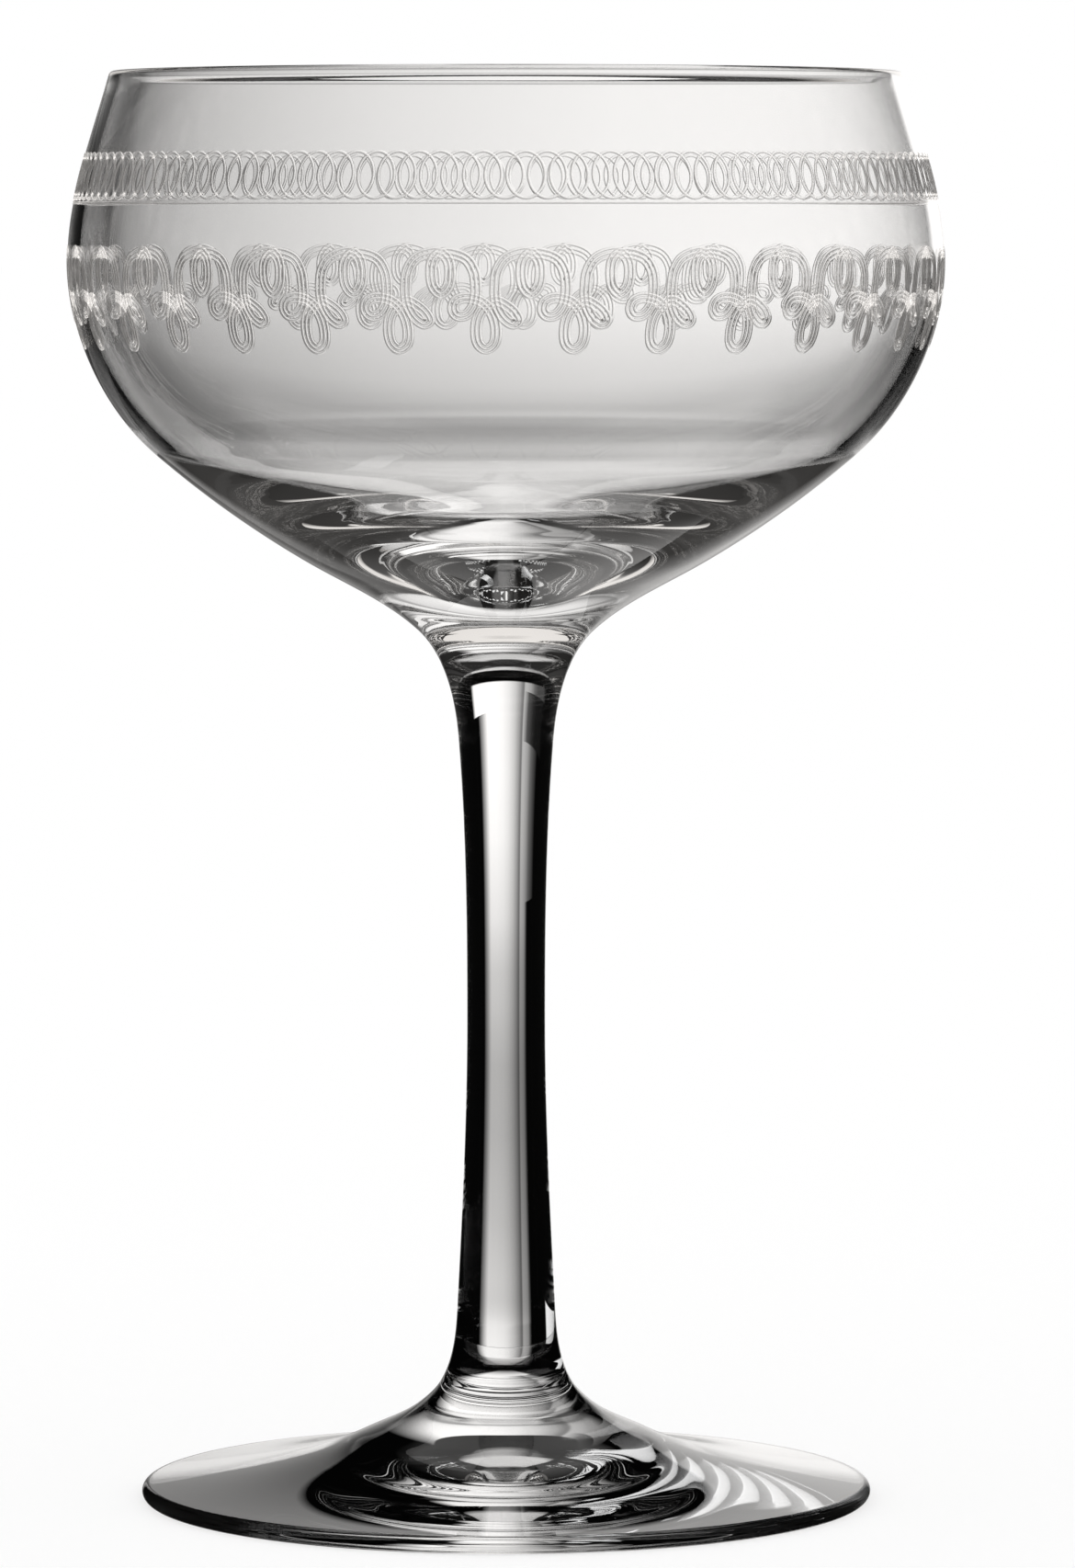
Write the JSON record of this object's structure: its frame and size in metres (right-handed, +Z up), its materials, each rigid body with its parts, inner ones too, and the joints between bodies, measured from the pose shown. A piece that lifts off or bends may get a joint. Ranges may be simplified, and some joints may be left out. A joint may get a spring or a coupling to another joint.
{
  "type": "coupe glass",
  "caption": "Stemmed coupe glass with a shallow round bowl, a thin drawn stem and a round foot, for sparkling wine and cocktails.",
  "frame": {"origin": "on the glass's axis, at the height of the flat ring that the foot stands on", "axes": "+Z up along the glass's axis, from the foot to the rim; X and Y lie in the table's plane, and the glass is round about +Z"},
  "size_m": [0.094, 0.094, 0.1538],
  "materials": {
    "bowl_glass": "clear polished crystal glass, with fine engraved lines on the outside",
    "stem_glass": "clear fire-polished crystal glass",
    "foot_glass": "clear fire-polished crystal glass"
  },
  "bodies": {
    "root": {"bowl": "bowl_glass", "stem": "stem_glass", "foot": "foot_glass"}
  },
  "joints": []
}
